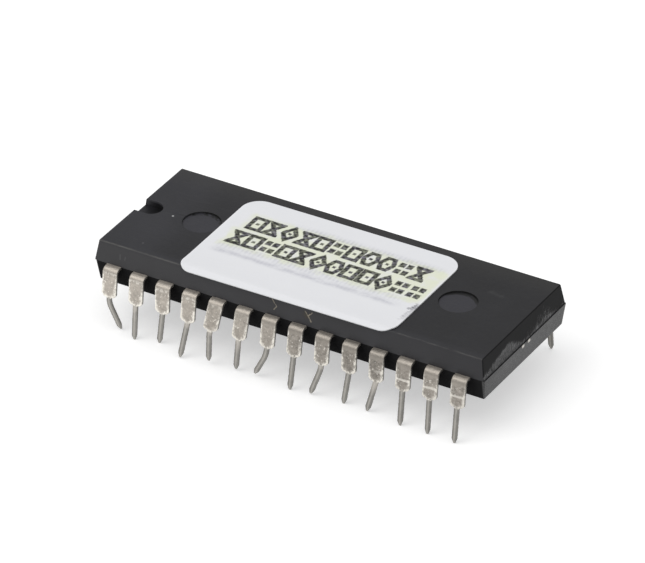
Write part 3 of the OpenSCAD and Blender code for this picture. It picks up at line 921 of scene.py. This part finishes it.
def flat_label(label, front):
    """The label as a flat sheet around its own middle, cut into small cells."""
    length = label.length / MM
    width = label.back / MM + front
    bm = bmesh.new()
    bmesh.ops.create_grid(bm, x_segments=1, y_segments=1, size=0.5)
    bmesh.ops.scale(bm, vec=(length, width, 1), verts=bm.verts)
    back = [v for v in bm.verts if v.co.y > 0]
    near = [v for v in bm.verts if v.co.y < 0]
    for corners, radius in ((back, label.corner / MM), (near, label.front_corner / MM)):
        bmesh.ops.bevel(
            bm, geom=corners, offset=radius, segments=12, profile=0.5,
            affect="VERTICES", clamp_overlap=True, material=-1)
    cuts = [((1, 0, 0), length), ((0, 1, 0), width)]
    for normal, size in cuts:
        count = round(size / CELL)
        for step in range(1, count):
            place = -size / 2 + step * size / count
            bmesh.ops.bisect_plane(
                bm, geom=bm.verts[:] + bm.edges[:] + bm.faces[:], dist=1e-5,
                plane_co=Vector(normal) * place, plane_no=normal)
    for step in range(1, 24):
        place = -width / 2 + step * 0.04
        bmesh.ops.bisect_plane(
            bm, geom=bm.verts[:] + bm.edges[:] + bm.faces[:], dist=1e-5,
            plane_co=(0, place, 0), plane_no=(0, 1, 0))
    return bm


def folded(point, edge_y, slope, top):
    """Where a point of the flat sheet lies once its front edge droops over the front top edge."""
    start = -edge_y + FOLD_START
    past = start - point.y
    share = min(max(1 + past / LIFT_LENGTH, 0), 1)
    level = top + FOLD_LIFT * share * share * (3 - 2 * share)
    if past <= 0:
        return Vector((point.x, point.y, level))
    arc = min(past / FOLD_RADIUS, slope)
    rest = max(past - FOLD_RADIUS * slope, 0)
    return Vector((
        point.x,
        start - FOLD_RADIUS * math.sin(arc) - rest * math.cos(slope),
        level - FOLD_RADIUS * (1 - math.cos(arc)) - rest * math.sin(slope)))


# Rows of printed marks on the label: the first mark's left edge, the last one's right edge and the row's middle.
PRINT_ROWS = [(-8.7, 8.3, 1.9, 11), (-9.1, 9.4, -0.68, 12)]
MARK_REACH = 1.06
STROKE = 0.2


def printed_marks(look, x, y, row):
    """One row of plain outlined shapes with a dot inside, or of four blocks, 1 where there is ink."""
    left, right, middle, count = PRINT_ROWS[row]
    step = (right - left) / count
    place = ((x - left) / step).floor()
    u = abs(x - left - (place + 0.5) * step)
    v = abs(y - middle)
    wide = step / 2 - STROKE * 1.1
    tall = MARK_REACH - STROKE
    dot = u.most(v) + 0.06
    square = abs((u - wide).most(v - tall)).least(dot)
    diamond = abs((u * tall + v * wide - tall * wide * 1.1) / math.hypot(tall, wide)).least(dot)
    flank = ((u - wide * 1.1) * tall + v * wide * 0.55) / math.hypot(tall, wide * 0.55)
    hexagon = abs(flank.most(v - tall)).least(dot)
    blocks = abs(u - wide * 0.62).most(abs(v - tall * 0.6) * 0.8) - 0.06
    waist = ((u * tall - v * wide) / math.hypot(tall, wide))
    bow = abs(waist.most(v - tall))
    draw = (place * (place * 0.173 + 0.31) + (row * 0.45 + 0.12)).fraction()
    far = look.pick(draw, [(0.22, square), (0.45, diamond), (0.65, bow), (0.84, hexagon), (1.0, blocks)])
    inside = (x - left).rise(0.0, 0.02) * (right - x).rise(0.0, 0.02)
    return far.rise(STROKE + 0.07, STROKE - 0.05) * inside


def paper_look(label):
    look = Look("label_paper")
    p = look.place()
    x, y, z = look.parts(p)
    fibre = look.noise(p, 6.0, 4.0, 0.6)
    cloud = look.noise(p, 0.5, 2.0, 0.5)
    threads = look.noise(look.vector(x * 6.0, y * 0.7, z), 1.0, 3.0, 0.65)
    edge_wobble = (look.noise(look.vector(x, y, 0.0), 0.8, 3.0, 0.6) - 0.5) * 1.5 + (threads - 0.5) * 0.9
    colour = look.scaled(label.paper[:], 0.975 + cloud * 0.03 + fibre * 0.02)

    halo = ((x + 9.45 + edge_wobble * 0.7).rise(-0.25, 0.3) * (9.75 - x + edge_wobble * 0.5).rise(-0.2, 0.3)
            * (y + 2.15 + edge_wobble).rise(-0.35, 0.35) * (3.2 - y + edge_wobble).rise(-0.35, 0.35))
    upper_left = (x + 8.9).rise(-0.5, 0.3).most(y.rise(0.9, 0.5))
    faded = look.noise(look.vector(x, y * 1.5, 0.0), 0.45, 2.0, 0.6).rise(0.3, 0.55)
    halo = halo * upper_left * (0.25 + faded * 0.65 + (cloud - 0.5) * 0.4 - (threads - 0.5) * 0.8).most(0.0).least(0.95)
    colour = look.mix(halo, colour, label.ground[:])

    combed = 0.45 + 0.55 * (x * (math.tau / 0.36)).sine() * threads.rise(0.35, 0.6)
    level = -3.05 + (look.noise(look.vector(x, 0.0, 0.0), 0.35, 2.0, 0.5) - 0.5) * 0.3
    along = (x + 9.9).rise(0.0, 1.2) * (8.9 - x).rise(0.0, 2.0)
    patchy = look.noise(look.vector(x * 1.1, y * 2.4, 0.0), 0.9, 3.0, 0.6).rise(0.3, 0.62)
    smear = abs(y - level).rise(0.55, 0.0) * along * (0.3 + patchy * 0.7) * (0.8 + combed * 0.25)
    lines = 0.55 + 0.45 * (x * (math.tau / 0.38) + threads * 5.0).sine()
    above = (y - 2.85).rise(-0.1, 0.25) * (3.95 - y).rise(0.0, 0.95) * (x + 6.5).rise(0.0, 4.0) * (9.6 - x).rise(0.0, 1.5)
    # A grey printed haze above the first row, in fine combed lines.
    haze_above = above * (0.35 + lines * 0.65) * (0.35 + patchy * 0.65)
    below = (y + 2.9).rise(0.0, 0.6) * (-1.75 - y).rise(-0.1, 0.2)
    fringe = below * along * (0.2 + lines * 0.8) * (0.3 + patchy * 0.7)
    haze = (smear * 0.42 + haze_above * 0.46 + fringe * 0.3).least(1.0)
    colour = look.mix(haze, colour, (0.34, 0.34, 0.42))

    weave = look.noise(look.vector(x * 1.4, y, z), 4.5, 2.0, 0.6)
    wobble = look.vector(x + (fibre - 0.5) * 0.12 + (weave - 0.5) * 0.16, y + (threads - 0.5) * 0.14, z)
    ink_x, ink_y, ink_z = look.parts(wobble)
    ink = printed_marks(look, ink_x, ink_y, 0).most(printed_marks(look, ink_x, ink_y, 1))
    dots = (ink_x * (math.tau / 0.66)).sine() * (ink_y * (math.tau / 0.54)).sine()
    spots = look.noise(p, 2.3, 3.0, 0.65)
    tint = look.mix(look.noise(p, 1.3, 2.0, 0.5).rise(0.45, 0.6), label.ink[:], (0.05, 0.046, 0.066))
    dark = look.scaled(tint, (0.95 + dots * 0.9 + (spots - 0.5) * 6.5 + (weave - 0.5) * 2.0).most(0.05).least(3.2))
    colour = look.mix(ink * (0.955 - dots * 0.045 - (spots - 0.5) * 0.5).least(1.0), colour, dark)

    edge_in = label.length / MM / 2 + label.shift / MM - x
    bitten = look.noise(look.vector(0.0, y, 0.0), 1.1, 3.0, 0.7).rise(0.33, 0.62) * 0.62
    torn = (edge_in - bitten).rise(0.14, -0.06) * y.rise(-5.2, -4.2) * y.rise(-1.9, -2.4)
    torn = torn * (0.4 + y.rise(-3.6, -2.6) * 0.6) * look.noise(p, 4.5, 3.0, 0.7).rise(0.32, 0.55)
    colour = look.mix(torn * 0.85, colour, (0.1, 0.1, 0.125))
    half = label.length / MM / 2
    rim = (half - abs(x - label.shift / MM)).rise(0.3, 0.02)
    colour = look.mix(rim * 0.22, colour, (0.95, 0.95, 0.97))
    ridges = (y * (math.tau / 0.5) + threads * 2.0).sine() * (half - abs(x - label.shift / MM)).rise(2.2, 0.3)
    rough = 0.5 + fibre * 0.12 - ink * 0.12
    height = fibre + threads * 0.3 + ridges * 0.25 + ink * 0.8 - torn * 1.5
    return look.finish(look.surface(
        Base_Color=colour, Roughness=rough, Specular_IOR_Level=0.4,
        Normal=look.bump(height, 0.008, 0.35)))


class CHIP_OT_label(bpy.types.Operator):
    """Builds the paper label, whose loose edge droops over the front top edge"""
    bl_idname = "chip.label"
    bl_label = "Paper label"

    def execute(self, context):
        label = context.scene.chip_label
        body = context.scene.chip_body
        top = body.top / MM
        edge_y = body.width / MM / 2 - (top - body.parting / MM) * math.tan(body.side_draft)
        front = edge_y + label.flap / MM
        bm = flat_label(label, front)
        middle = Vector((label.shift / MM, (label.back / MM - front) / 2, 0))
        turn = Matrix.Rotation(label.turn, 3, "Z")
        for vert in bm.verts:
            vert.co = folded(turn @ vert.co + middle, edge_y, label.droop, top)
        piece = object_of("paper_label", mesh_of("paper_label", bm))
        modified(piece, [
            ("SOLIDIFY", {"thickness": label.thickness / MM, "offset": 1.0, "use_even_offset": True}),
        ])
        to_metres(piece)
        shade(piece, 50)
        dress(piece, paper_look(label), "label_paper", "label")
        return {"FINISHED"}


# Studio.

def area_lamp(name, colour, size, distance, azimuth, elevation, level):
    """A square soft light that lights a white card facing it to the given level."""
    lamp = bpy.data.lights.new(name, "AREA")
    lamp.shape = "SQUARE"
    lamp.size = size
    lamp.color = colour
    lamp.energy = level * math.pi * math.pi * distance * distance
    a = math.radians(azimuth)
    e = math.radians(elevation)
    back = Vector((math.sin(a) * math.cos(e), -math.cos(a) * math.cos(e), math.sin(e)))
    piece = bpy.data.objects.new(name, lamp)
    piece.location = back * distance
    piece.rotation_mode = "QUATERNION"
    piece.rotation_quaternion = back.to_track_quat("Z", "Y")
    piece.visible_camera = False
    bpy.context.scene.collection.objects.link(piece)
    return piece


def stage_camera(stage):
    data = bpy.data.cameras.new("camera")
    data.lens = stage.lens
    data.sensor_width = 36
    data.sensor_fit = "HORIZONTAL"
    data.clip_start = 0.01
    data.clip_end = 10
    camera = bpy.data.objects.new("camera", data)
    a = stage.azimuth
    e = stage.elevation
    back = Vector((math.sin(a) * math.cos(e), -math.cos(a) * math.cos(e), math.sin(e)))
    target = Vector((-0.475, -0.207, 5.696)) * MM
    right = Vector((0, 0, 1)).cross(back).normalized()
    up = back.cross(right)
    turned = Matrix((right, up, back)).transposed() @ Matrix.Rotation(stage.roll, 3, "Z")
    camera.matrix_world = Matrix.Translation(target + back * stage.distance) @ turned.to_4x4()
    bpy.context.scene.collection.objects.link(camera)
    bpy.context.scene.camera = camera


def floor_look(stage):
    look = Look("floor")
    p = look.place()
    cloud = look.noise(p, 0.02, 2.0, 0.5)
    colour = look.scaled(stage.floor[:], 0.99 + cloud * 0.02)
    matt = look.surface(Base_Color=colour, Roughness=0.8, Specular_IOR_Level=0.0)
    camera = look.node("ShaderNodeLightPath", output="Is Camera Ray")
    glossy = look.node("ShaderNodeLightPath", output="Is Glossy Ray")
    glow = look.node(
        "ShaderNodeEmission", inputs={"Color": (1, 1, 1), "Strength": camera.most(glossy) * stage.backdrop})
    return look.finish(look.node("ShaderNodeAddShader", inputs={0: matt, 1: glow}))


class CHIP_OT_stage(bpy.types.Operator):
    """Builds the pale floor, the soft lights and the camera"""
    bl_idname = "chip.stage"
    bl_label = "Stage"

    def execute(self, context):
        scene = context.scene
        stage = scene.chip_stage
        scene.view_settings.view_transform = "Standard"
        world = bpy.data.worlds.new("studio")
        scene.world = world
        world.use_nodes = True
        tree = world.node_tree
        tree.nodes["Background"].inputs["Color"].default_value = (1, 1, 1, 1)
        path = tree.nodes.new("ShaderNodeLightPath")
        strength = tree.nodes.new("ShaderNodeMapRange")
        strength.inputs["To Min"].default_value = 0.6
        strength.inputs["To Max"].default_value = 1.0
        tree.links.new(path.outputs["Is Camera Ray"], strength.inputs["Value"])
        tree.links.new(strength.outputs["Result"], tree.nodes["Background"].inputs["Strength"])
        bm = bmesh.new()
        bmesh.ops.create_circle(bm, cap_ends=True, segments=64, radius=3.0)
        floor = object_of("floor", mesh_of("floor", bm))
        floor.data.materials.append(floor_look(stage))
        area_lamp("key", (1.0, 0.99, 0.97), 0.9, 1.4, -35, 52, 0.3)
        area_lamp("overhead", (0.97, 0.98, 1.0), 1.2, 1.6, 60, 80, 0.15)
        stage_camera(stage)
        return {"FINISHED"}


class CHIP_PT_panel(bpy.types.Panel):
    """Lists the pieces of the chip and their sizes"""
    bl_idname = "CHIP_PT_panel"
    bl_label = "Memory chip"
    bl_space_type = "VIEW_3D"
    bl_region_type = "UI"
    bl_category = "Memory chip"

    def draw(self, context):
        scene = context.scene
        for operator, settings in PANEL_ROWS:
            box = self.layout.box()
            box.operator(operator.bl_idname)
            if settings:
                group = getattr(scene, settings)
                for name in group.__annotations__:
                    box.prop(group, name)


PANEL_ROWS = [
    (CHIP_OT_stage, "chip_stage"),
    (CHIP_OT_body, "chip_body"),
    (CHIP_OT_leads, "chip_leads"),
    (CHIP_OT_inside, None),
    (CHIP_OT_label, "chip_label"),
]
GROUPS = {
    "chip_stage": ChipStageSettings,
    "chip_body": ChipBodySettings,
    "chip_leads": ChipLeadSettings,
    "chip_label": ChipLabelSettings,
}


def register():
    for group in GROUPS.values():
        bpy.utils.register_class(group)
    for operator, _ in PANEL_ROWS:
        bpy.utils.register_class(operator)
    bpy.utils.register_class(CHIP_PT_panel)
    for name, group in GROUPS.items():
        setattr(bpy.types.Scene, name, bpy.props.PointerProperty(type=group))


def unregister():
    for name in GROUPS:
        delattr(bpy.types.Scene, name)
    bpy.utils.unregister_class(CHIP_PT_panel)
    for operator, _ in reversed(PANEL_ROWS):
        bpy.utils.unregister_class(operator)
    for group in reversed(GROUPS.values()):
        bpy.utils.unregister_class(group)


def main():
    register()
    bpy.ops.chip.stage()
    bpy.ops.chip.body()
    bpy.ops.chip.leads()
    bpy.ops.chip.inside()
    bpy.ops.chip.label()


if __name__ == "__main__":
    main()
